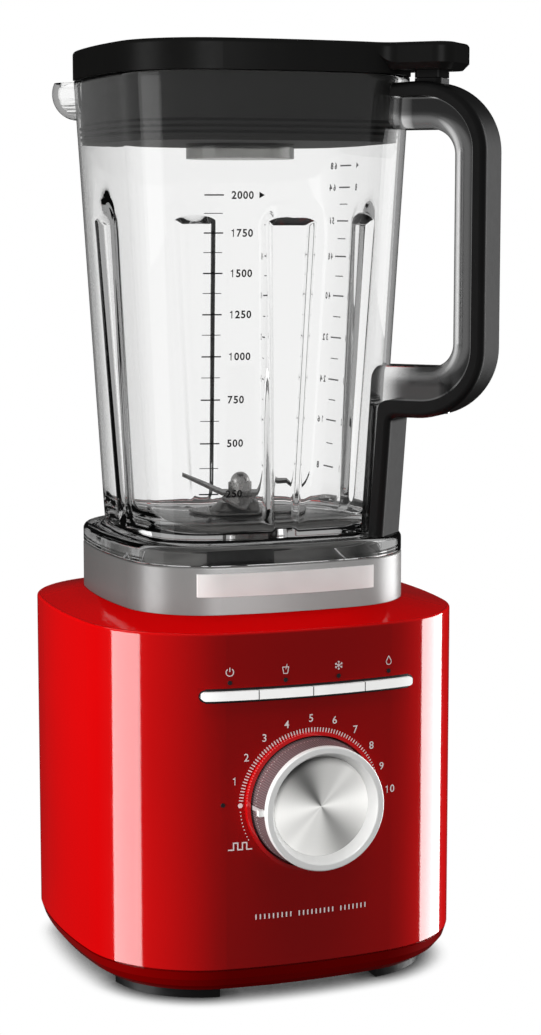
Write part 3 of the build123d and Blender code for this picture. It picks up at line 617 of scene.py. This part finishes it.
def wall_heights(low):
    """Heights of the mesh rows of a jar wall, close together where it bends."""
    at_foot = steps(low, 232.0, 2.5) + steps(232.0, 352.0, 8.0)
    at_flute_end = steps(352.0, FLUTE_END_Z - 0.3, 1.7) + [FLUTE_END_Z - 0.3, FLUTE_END_Z + 0.05]
    at_flute_end += steps(FLUTE_END_Z + 0.4, 366.4, 0.45) + steps(366.4, 374.0, 1.2)
    at_spout = steps(374.0, 410.0, 5.0) + steps(410.0, 429.4, 0.5)
    return at_foot + at_flute_end + at_spout


def jar_rows(columns):
    """Rows of points round the jar, from the hub hole outwards, up, over the rim and down inside."""
    rows = []

    def outline(size, inset, z):
        rows.append([(*jar_point(size, inset, z, c), z) for c in columns])

    def ring(radius, z):
        points = [jar_point(COLLAR, 30.0, z, c) for c in columns]
        rows.append([(x * radius / math.hypot(x, y), y * radius / math.hypot(x, y), z) for x, y in points])

    def wall(z, inside, inset=None):
        inset = DRAFT * (JAR_RIM_Z - z) + (JAR_WALL if inside else 0.0) if inset is None else inset
        ball = SPOUT_IN if inside else SPOUT_OUT
        rows.append([(*with_spout(*jar_point(JAR, inset, z, c, inside), z, ball), z) for c in columns])

    ring(HUB_HOLE_R, 211.5)
    outline(COLLAR, 9.8, 211.5)
    outline(COLLAR, 9.8, 190.6)
    outline(COLLAR, 9.4, 190.4)
    outline(COLLAR, 6.6, 190.4)
    outline(COLLAR, 6.4, 190.6)
    outline(COLLAR, 6.4, FLANGE_Z)
    outline(COLLAR, 0.5, FLANGE_Z)
    outline(COLLAR, 0.1, FLANGE_Z + 0.4)
    for step in range(7):
        a = math.radians(15 * step)
        outline(COLLAR, 0.1 + 3 * (1 - math.cos(a)), LEDGE_Z - 3 + 3 * math.sin(a))
    foot_inset = DRAFT * (JAR_RIM_Z - LEDGE_Z - 2)
    for step in range(1, 5):
        a = math.radians(22.5 * step)
        wall(LEDGE_Z + 2 - 2 * math.cos(a), False, foot_inset - 2 + 2 * math.sin(a))
    for z in wall_heights(LEDGE_Z + 2.5):
        wall(z, False)
    for inset, z in ((DRAFT, JAR_RIM_Z - 0.9), (0.35, JAR_RIM_Z - 0.3), (0.9, JAR_RIM_Z),
                     (JAR_WALL - 0.9, JAR_RIM_Z), (JAR_WALL - 0.35, JAR_RIM_Z - 0.3)):
        wall(z, z < JAR_RIM_Z and inset > 2, inset)
    for z in reversed(wall_heights(JAR_FLOOR_Z + FLOOR_ROUND)):
        wall(z, True)
    corner = DRAFT * (JAR_RIM_Z - JAR_FLOOR_Z - FLOOR_ROUND) + JAR_WALL
    for step in range(1, 8):
        a = math.radians(90 * step / 7)
        wall(JAR_FLOOR_Z + FLOOR_ROUND * (1 - math.sin(a)), True, corner + FLOOR_ROUND * (1 - math.cos(a)))
    ring(30.0, JAR_FLOOR_Z)
    ring(HUB_HOLE_R, JAR_FLOOR_Z)
    return rows


def jar():
    """Clear jar with flutes, spout and foot flange, in place of the plain CAD one."""
    columns = jar_columns()
    rows = jar_rows(columns)
    wide, tall = len(columns), len(rows)
    verts = [point for row in rows for point in row]
    faces = []
    for i in range(tall):
        for j in range(wide):
            a, b = i * wide, (i + 1) % tall * wide
            faces.append((a + j, a + (j + 1) % wide, b + (j + 1) % wide, b + j))
    piece = new_piece("jar_vessel", verts, faces, "jar", LOOKS["clear_plastic"])
    piece.data.set_sharp_from_angle(angle=math.radians(40))
    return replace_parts(piece, "jar_body")


VESSEL = jar()


# ------------------------------------------------------------------ dial details

def on_skirt(angle, depth, lift=0.0):
    """Point on the cone of the dial skirt; depth is its y in mm."""
    share = (depth + 92.0) / -17.4
    radius = 30.8 - 2.1 * share + lift
    return (radius * math.cos(angle), depth, DIAL_Z + radius * math.sin(angle))


def skirt_dots():
    """Ring of small raised dots near the base of the skirt."""
    dots, sides, size, depth, ring_r = 110, 8, 0.26, -100.4, 30.4
    verts, faces = [], []
    for index in range(dots):
        middle = 2 * math.pi * index / dots
        base = len(verts)
        for side in range(sides):
            a = 2 * math.pi * side / sides
            verts.append(on_skirt(middle + size * math.cos(a) / ring_r, depth + size * math.sin(a), 0.10))
        verts.append(on_skirt(middle, depth, 0.16))
        faces += [(base + i, base + (i + 1) % sides, base + sides) for i in range(sides)]
    new_piece("skirt_dots", verts, faces, "dial", PALE_INK)


def pointer_line():
    """Grey line along the skirt, from the pointer tab to its base."""
    verts, faces = [], []
    for depth in (-109.2, -92.2):
        for angle, lift in ((-0.034, -0.1), (-0.034, 0.30), (0.034, 0.30), (0.034, -0.1)):
            verts.append(on_skirt(math.pi + angle, depth, lift))
    faces = [(0, 1, 2, 3), (7, 6, 5, 4)] + [(i, (i + 1) % 4, (i + 1) % 4 + 4, i + 4) for i in range(4)]
    look = Look("pointer_line", (0.46, 0.44, 0.44), 0.4).cloudy(90.0, 0.05).worn(300.0)
    new_piece("pointer_line", verts, faces, "dial", look.material, smooth=False)


skirt_dots()
pointer_line()


# ------------------------------------------------------------------ button bar and handle details

BUTTON_Z = 147.3
SLOT_HALF, SLOT_TALL = 54.4, 3.5
BEZEL_HALF, BEZEL_TALL = 53.85, 2.95


def slot_corner_fills():
    """Red corners that leave the button slot with round ends."""
    verts, faces = [], []
    for side in (-1, 1):
        for level in (-1, 1):
            base = len(verts)
            cells = 10
            for i in range(cells + 1):
                a = math.pi / 2 * i / cells
                u = side * (BEZEL_HALF - BEZEL_TALL + BEZEL_TALL * math.sin(a))
                v = BUTTON_Z + level * BEZEL_TALL * math.cos(a)
                far = side * SLOT_HALF if i * 2 > cells else u + side * (SLOT_HALF - abs(u)) * 2 * i / cells
                top = BUTTON_Z + level * SLOT_TALL if i * 2 <= cells else (
                    BUTTON_Z + level * SLOT_TALL * math.cos(a) / math.cos(math.pi / 4))
                for deep in (0.06, -1.2):
                    verts.append((u, -front_depth(BASE, u) - deep, v))
                    verts.append((far, -front_depth(BASE, far) - deep, top))
            for i in range(cells):
                a, b = base + 4 * i, base + 4 * i + 4
                faces += [(a, a + 1, b + 1, b), (a + 2, b + 2, b + 3, a + 3), (a, b, b + 2, a + 2),
                          (a + 1, a + 3, b + 3, b + 1)]
            end = base + 4 * cells
            faces += [(base, base + 2, base + 3, base + 1), (end, end + 1, end + 3, end + 2)]
    new_piece("slot_corner_fills", verts, faces, "base", LOOKS["red_gloss"], smooth=False)


def box_mesh(x0, x1, y0, y1, z0, z1, base):
    """Corners and faces of a box, the faces counted on from base."""
    verts = [(x, y, z) for x in (x0, x1) for y in (y0, y1) for z in (z0, z1)]
    quads = [(0, 1, 3, 2), (4, 6, 7, 5), (0, 4, 5, 1), (2, 3, 7, 6), (0, 2, 6, 4), (1, 5, 7, 3)]
    return verts, [tuple(base + i for i in quad) for quad in quads]


def button_dividers():
    """Thin dark plates in the gaps between the buttons, standing in for the shade there."""
    verts, faces = [], []
    for x in (-26.5, 0.0, 26.5):
        front = -front_depth(BASE, x)
        more, quads = box_mesh(x - 0.2, x + 0.2, front - 1.45, front + 2.0, BUTTON_Z - 2.0, BUTTON_Z + 2.0,
                               len(verts))
        verts += more
        faces += quads
    new_piece("button_dividers", verts, faces, "base", LOOKS["dark_plastic"], smooth=False)


def screw_heads():
    """Socket heads sunk in the underside of the handle, each a lathed rim with a six sided socket."""
    sides = 24
    rings = ((3.5, 273.1), (3.5, 272.2), (3.2, 271.9), (1.9, 271.9), (1.9, 272.8))
    verts, faces = [], []
    for along in (92.0, 106.0):
        base = len(verts)
        for radius, z in rings:
            for i in range(sides):
                a = 2 * math.pi * i / sides
                reach = radius
                if radius < 2:
                    flat = (a + math.pi / 6) % (math.pi / 3) - math.pi / 6
                    reach *= math.cos(math.pi / 6) / math.cos(flat)
                u, w = along + reach * math.cos(a), reach * math.sin(a)
                verts.append(((u + w) / math.sqrt(2), (w - u) / math.sqrt(2), z))
        for row in range(base, base + sides * (len(rings) - 1), sides):
            for i in range(sides):
                j = (i + 1) % sides
                faces.append((row + i, row + j, row + sides + j, row + sides + i))
        last = base + sides * (len(rings) - 1)
        faces += [tuple(range(base, base + sides)), tuple(reversed(range(last, last + sides)))]
    piece = new_piece("handle_screw_heads", verts, faces, "jar", LOOKS["screw_steel"],
                      smooth=False)
    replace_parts(piece, "handle_screws")


slot_corner_fills()
button_dividers()
screw_heads()


# ------------------------------------------------------------------ printed marks

def on_base(u, v):
    """Just off the base's bowed front."""
    return (u, -front_depth(BASE, u) - 0.09, v)


def on_jar_front(u, v):
    """Just off the jar's front wall."""
    return (u, -front_depth(JAR, u, DRAFT * (JAR_RIM_Z - v)) - 0.07, v)


def on_jar_right(u, v):
    """Just off the jar's right wall; the scale stands 7.5 mm nearer the front than its u says."""
    u -= 7.5
    return (front_depth(JAR, u, DRAFT * (JAR_RIM_Z - v)) + 0.07, u, v)


# heights of the marks in mm, as they stand in the photograph
ML_HEIGHTS = {2000: 374.6, 1750: 357.4, 1500: 339.0, 1250: 320.1,
              1000: 300.7, 750: 280.6, 500: 260.2, 250: 236.3}
OZ_HEIGHTS = {68: 390.4, 64: 379.4, 56: 362.4, 48: 344.4, 40: 324.3,
              32: 303.0, 24: 281.5, 16: 260.6, 8: 236.8}
CUP_OF = {64: "8", 56: "7", 48: "6", 40: "5", 32: "4", 24: "3", 16: "2", 8: "1"}


def millilitre_scale():
    """Long marks with numbers and short ones between, on the front."""
    marks = Print()
    heights = list(ML_HEIGHTS.values())
    for amount, z in ML_HEIGHTS.items():
        marks.bar(-42.2, -33.4, z, 0.62)
        digits = str(amount)
        marks.add(*glyph_mesh(digits, 3.6, "LEFT", 0.24, 2.72 * len(digits)), -30.0, z)
    for high, low in zip(heights, heights[1:]):
        marks.bar(-42.2, -33.8, (high + low) / 2 + 0.3, 0.34)
    marks.add([(0, -1.5), (2.6, 0), (0, 1.5)], [(0, 1, 2)], -16.6, ML_HEIGHTS[2000])
    marks.lay("millilitre_scale", on_jar_front, "jar", INK)


def ounce_scale():
    """Marks with ounces on one side and cups on the other, on the right."""
    marks = Print()
    heights = list(OZ_HEIGHTS.values())
    for amount, z in OZ_HEIGHTS.items():
        marks.bar(31.0, 42.8, z, 0.75)
        digits = str(amount)
        marks.add(*glyph_mesh(digits, 3.5, "CENTER", 0.40, 3.5 * len(digits)), 49.2, z)
        if amount in CUP_OF:
            marks.add(*glyph_mesh(CUP_OF[amount], 3.5, "CENTER", 0.30), 24.0, z)
    for high, low in zip(heights[1:], heights[2:]):
        marks.bar(33.0, 41.0, (high + low) / 2, 0.50)
    marks.add([(0, 0), (2.6, -1.5), (2.6, 1.5)], [(0, 1, 2)], 22.6, OZ_HEIGHTS[68])
    marks.lay("ounce_scale", on_jar_right, "jar", INK)


def dial_marks(marks):
    """Numbers 1 to 10, the ring of ticks, and the dots towards the pulse position."""
    for step in range(1, 11):
        angle = math.radians(180 - 17.8 * step)
        reach = 39.4 - 0.25 * max(step - 5, 0) + (2.6 if step == 10 else 0.0)
        marks.add(*glyph_mesh(str(step), 3.6, "CENTER", 0.06),
                  reach * math.cos(angle), DIAL_Z + reach * math.sin(angle))
    for index in range(72):
        marks.tick(-0.45, DIAL_Z - 0.4, math.radians(174.9 - 2.43 * index), 33.3, 35.3, 0.5)
    marks.dot(-35.0, DIAL_Z + 0.4, 1.15, 24)
    for index in range(9):
        angle = math.radians(184.5 + 2.85 * index)
        marks.dot(35.0 * math.cos(angle), DIAL_Z + 35.0 * math.sin(angle), 0.30, 10)


def pulse_glyph(marks):
    """A short square wave."""
    low, high = 74.6, 77.8
    marks.line([(-40.6, low), (-38.2, low), (-38.2, high), (-36.2, high), (-36.2, low), (-34.0, low),
                (-34.0, high), (-32.0, high), (-32.0, low), (-29.6, low)], 0.6)


def power_icon(marks, x, z):
    """A broken ring with a bar."""
    marks.arc(x, z, 1.75, 0.42, math.radians(125), math.radians(415))
    marks.line([(x, z + 0.4), (x, z + 2.1)], 0.42)


def glass_icon(marks, x, z):
    """A glass with a straw."""
    marks.line([(x - 1.5, z + 1.1), (x - 0.95, z - 1.9), (x + 0.95, z - 1.9), (x + 1.5, z + 1.1),
                (x - 1.5, z + 1.1)], 0.36)
    marks.line([(x + 0.1, z + 0.2), (x + 0.75, z + 2.4)], 0.32)


def flake_icon(marks, x, z):
    """A six pointed flake."""
    for turn in range(6):
        a = math.radians(60 * turn + 30)
        marks.line([(x, z), (x + 2.0 * math.cos(a), z + 2.0 * math.sin(a))], 0.34)
        for side in (-0.6, 0.6):
            b = a + side
            u, v = x + 1.15 * math.cos(a), z + 1.15 * math.sin(a)
            marks.line([(u, v), (u + 0.75 * math.cos(b), v + 0.75 * math.sin(b))], 0.28)


def drop_icon(marks, x, z):
    """A drop of water."""
    drop = [(x, z + 2.2)]
    for index in range(13):
        a = math.radians(150 + index * 240 / 12)
        drop.append((x + 1.35 * math.cos(a), z - 0.55 + 1.35 * math.sin(a)))
    marks.line(drop + [drop[0]], 0.36)


def bar_rule(marks):
    """Three groups of short upright bars under the dial."""
    bars, half, gaps = 27, 27.6, (9, 19)
    for index in range(bars):
        if index not in gaps:
            u = -half + index * 2 * half / (bars - 1)
            marks.strip(u - 0.32, u + 0.32, 40.6, 43.0, 1)


def panel_marks():
    marks = Print()
    dial_marks(marks)
    pulse_glyph(marks)
    power_icon(marks, ICON_XS["power"], ICON_Z)
    glass_icon(marks, ICON_XS["smoothie"], ICON_Z)
    flake_icon(marks, ICON_XS["ice"], ICON_Z)
    drop_icon(marks, ICON_XS["clean"], ICON_Z)
    bar_rule(marks)
    return marks.lay("panel_marks", on_base, "base", PALE_INK)


millilitre_scale()
ounce_scale()
PANEL = panel_marks()


# ------------------------------------------------------------------ stage, light and camera

# strength of the dim fill, and of what the camera sees by reflection within clear plastic
FILL = 0.10
INNER_FILL = 0.36


def area(name, location, target, width, height, radiance):
    """Rectangular softbox whose face has the given radiance."""
    lamp = bpy.data.lights.new(name, "AREA")
    lamp.shape = "RECTANGLE"
    lamp.size, lamp.size_y = width, height
    lamp.energy = radiance * width * height * math.pi
    holder = bpy.data.objects.new(name, lamp)
    bpy.context.scene.collection.objects.link(holder)
    holder.location = location
    holder.rotation_mode = "QUATERNION"
    holder.rotation_quaternion = (Vector(target) - Vector(location)).to_track_quat("-Z", "Y")
    holder.visible_camera = False
    return holder


def only(lamp, objects, leave_out=False):
    """Links a lamp to some objects alone, or to all but those."""
    receivers = bpy.data.collections.new(lamp.name + "_receivers")
    lamp.light_linking.receiver_collection = receivers
    for obj in objects:
        receivers.objects.link(obj)
    if leave_out:
        for entry in receivers.collection_objects:
            entry.light_linking.link_state = "EXCLUDE"


def tree_math(tree, operation, *values):
    """A Math node of a tree, fed by numbers or sockets."""
    made = tree.nodes.new("ShaderNodeMath")
    made.operation = operation
    for socket, value in zip(made.inputs, values):
        if isinstance(value, (int, float)):
            socket.default_value = value
        else:
            tree.links.new(value, socket)
    return made.outputs[0]


def seen_directly(tree):
    """1 for what the camera sees, less for what reaches it by reflection within clear plastic, else 0."""
    path = tree.nodes.new("ShaderNodeLightPath")
    total = tree_math(tree, "ADD", path.outputs["Glossy Depth"], path.outputs["Diffuse Depth"])
    direct = tree_math(tree, "LESS_THAN", total, 0.5)
    lit = tree_math(tree, "LESS_THAN", path.outputs["Diffuse Depth"], 0.5)
    inside = tree_math(tree, "GREATER_THAN", path.outputs["Transmission Depth"], 0.5)
    within = tree_math(tree, "MULTIPLY", tree_math(tree, "MULTIPLY", lit, inside), INNER_FILL)
    return tree_math(tree, "MAXIMUM", direct, within)


def fade(tree, value, start, end, low, high):
    """Takes a value from start to end over to low to high."""
    made = tree.nodes.new("ShaderNodeMapRange")
    for socket, number in zip(("From Min", "From Max", "To Min", "To Max"), (start, end, low, high)):
        made.inputs[socket].default_value = number
    tree.links.new(value, made.inputs["Value"])
    return made.outputs["Result"]


def studio_floor():
    """White floor that shows only a tight contact shadow."""
    half = 9.0
    corners = [(-half, -half, 0), (half, -half, 0), (half, half, 0), (-half, half, 0)]
    mesh = bpy.data.meshes.new("studio_floor")
    mesh.from_pydata(corners, [], [(0, 1, 2, 3)])
    material = bpy.data.materials.new("studio_floor")
    material.use_nodes = True
    tree = material.node_tree
    tree.nodes.clear()
    out = tree.nodes.new("ShaderNodeOutputMaterial")
    glow = tree.nodes.new("ShaderNodeEmission")
    near = tree.nodes.new("ShaderNodeAmbientOcclusion")
    near.samples = 12
    near.inputs["Distance"].default_value = 0.012
    shade = tree.nodes.new("ShaderNodeValToRGB")
    for index, (at, tone) in enumerate(((0.0, 0.006), (0.2, 0.05), (0.48, 0.55), (0.7, 0.9), (0.9, 1.0))):
        entry = shade.color_ramp.elements[index] if index < 2 else shade.color_ramp.elements.new(at)
        entry.position, entry.color = at, (tone, tone, tone, 1.0)
    tree.links.new(near.outputs["AO"], shade.inputs["Fac"])
    tree.links.new(shade.outputs["Color"], glow.inputs["Color"])
    tree.links.new(tree_math(tree, "MAXIMUM", seen_directly(tree), FILL), glow.inputs["Strength"])
    tree.links.new(glow.outputs["Emission"], out.inputs["Surface"])
    material.cycles.emission_sampling = "NONE"
    mesh.materials.append(material)
    floor = bpy.data.objects.new("studio_floor", mesh)
    bpy.context.scene.collection.objects.link(floor)
    floor.location = (0, 0, -0.0002)
    floor.visible_glossy = False
    floor.visible_diffuse = False
    floor.visible_shadow = False
    return floor


def studio_world():
    """White behind the object, and a dim fill for what it reflects."""
    world = bpy.data.worlds.new("studio")
    world.use_nodes = True
    tree = world.node_tree
    tree.nodes.clear()
    out = tree.nodes.new("ShaderNodeOutputWorld")
    back = tree.nodes.new("ShaderNodeBackground")
    back.inputs["Color"].default_value = (1, 1, 1, 1)
    coords = tree.nodes.new("ShaderNodeTexCoord")
    split = tree.nodes.new("ShaderNodeSeparateXYZ")
    tree.links.new(coords.outputs["Generated"], split.inputs[0])
    behind = fade(tree, split.outputs["Y"], 0.1, 0.6, FILL, 0.15 * FILL)
    below = fade(tree, split.outputs["Z"], -0.75, -0.4, 0.04, 1.0)
    fill = tree_math(tree, "MULTIPLY", behind, below)
    tree.links.new(tree_math(tree, "MAXIMUM", seen_directly(tree), fill), back.inputs["Strength"])
    tree.links.new(back.outputs["Background"], out.inputs["Surface"])
    world.cycles.sampling_method = "NONE"
    bpy.context.scene.world = world


def camera():
    """The photograph's view."""
    data = bpy.data.cameras.new("camera")
    data.lens = 80.34
    data.sensor_width = 36.0
    data.clip_start, data.clip_end = 0.05, 50.0
    holder = bpy.data.objects.new("camera", data)
    bpy.context.scene.collection.objects.link(holder)
    holder.location = (-0.39751, -1.06726, 0.36627)
    holder.rotation_euler = (math.radians(82.5), 0.0, math.radians(-21.19))
    bpy.context.scene.camera = holder


def nodes(*names):
    """CAD objects by name."""
    return [NODES[n] for n in names]


FLOOR = studio_floor()
studio_world()
for clear_part in [VESSEL] + nodes("handle_core", "measuring_cap"):
    clear_part.visible_shadow = False
for unseen in nodes("collar_ring", "badge_bar"):
    unseen.visible_glossy = False

# what is lit by its own lamps, in place of the two big softboxes
UPPER = [VESSEL] + nodes("handle_core", "lid_plug", "measuring_cap", "blade_hub", "lower_blade",
                         "upper_blade", "blade_nut", "hub_gasket", "hub_nut", "drive_coupling",
                         "driven_coupling", "blade_shaft")
HANDLE = nodes("handle_shell")
LID_SHELL = nodes("lid_shell")
PAN = nodes("base_pan", "feet")

# the softboxes' places and widths, left and right of the object
LEFT, RIGHT = ((-3.0, 0.0), 1.66), ((2.993, 0.209), 1.95)
MIDDLE_Z = 0.25


def softbox(name, side, height, radiance, level=MIDDLE_Z):
    """Upright softbox at one side, its middle at a level."""
    (x, y), width = side
    return area(name, (x, y, level), (0, 0, level), width, height, radiance)


# the upper part of each isn't mirrored, so that it doesn't show in the rounded shoulder
for side_name, side, strength in (("left", LEFT, 9.0), ("right", RIGHT, 10.0)):
    lower_part = softbox("softbox_" + side_name, side, 1.9, strength, -0.2)
    upper_part = softbox("softbox_top_" + side_name, side, 0.9, strength, 1.2)
    upper_part.visible_glossy = False
    for part in (lower_part, upper_part):
        only(part, [FLOOR] + UPPER + HANDLE + LID_SHELL + PAN, leave_out=True)
only(softbox("upper_left", LEFT, 2.8, 0.9), UPPER + LID_SHELL + HANDLE)
only(softbox("upper_right", RIGHT, 2.8, 0.9), UPPER)
only(softbox("handle_right", RIGHT, 2.8, 1.5), HANDLE)
only(softbox("pan_left", LEFT, 2.8, 3.2), PAN)
only(softbox("pan_right", RIGHT, 2.8, 3.2), PAN)

# one key light from the upper left front, at a strength of its own for each group
FRONT_PARTS = nodes("dial_ring", "dial_skirt", "dial_pointer", "dial_trim_ring", "badge_bar") + [PANEL]
BUTTONS = nodes("button_power", "button_smoothie", "button_ice", "button_clean")
for name, strength, lit in (("panel_key", 12.0, FRONT_PARTS), ("bright_key", 22.0, BUTTONS),
                            ("disc_key", 23.0, nodes("dial_face"))):
    only(area(name, (-0.9, -2.4, 2.0), (0, -0.1, 0.1), 1.3, 1.3, strength), lit)
only(area("collar_front", (0.0, -2.6, 0.6), (0, 0, 0.19), 1.6, 1.4, 19.0), nodes("collar_ring"))
only(area("lid_front", (-0.4, -2.6, 0.6), (0, 0, 0.42), 1.4, 1.4, 1.1), LID_SHELL + nodes("lid_plug"))
overhead = area("shoulder_top", (0.0, 0.0, 2.4), (0, 0.001, 0.18), 1.6, 1.6, 6.0)
overhead.visible_glossy = False
only(overhead, nodes("base_housing"))
only(area("shoulder_sheen", (-0.9, 1.3, 2.2), (0, 0, 0.18), 0.8, 1.0, 2.0), nodes("base_housing"))
camera()
bpy.context.scene.view_settings.view_transform = "Standard"
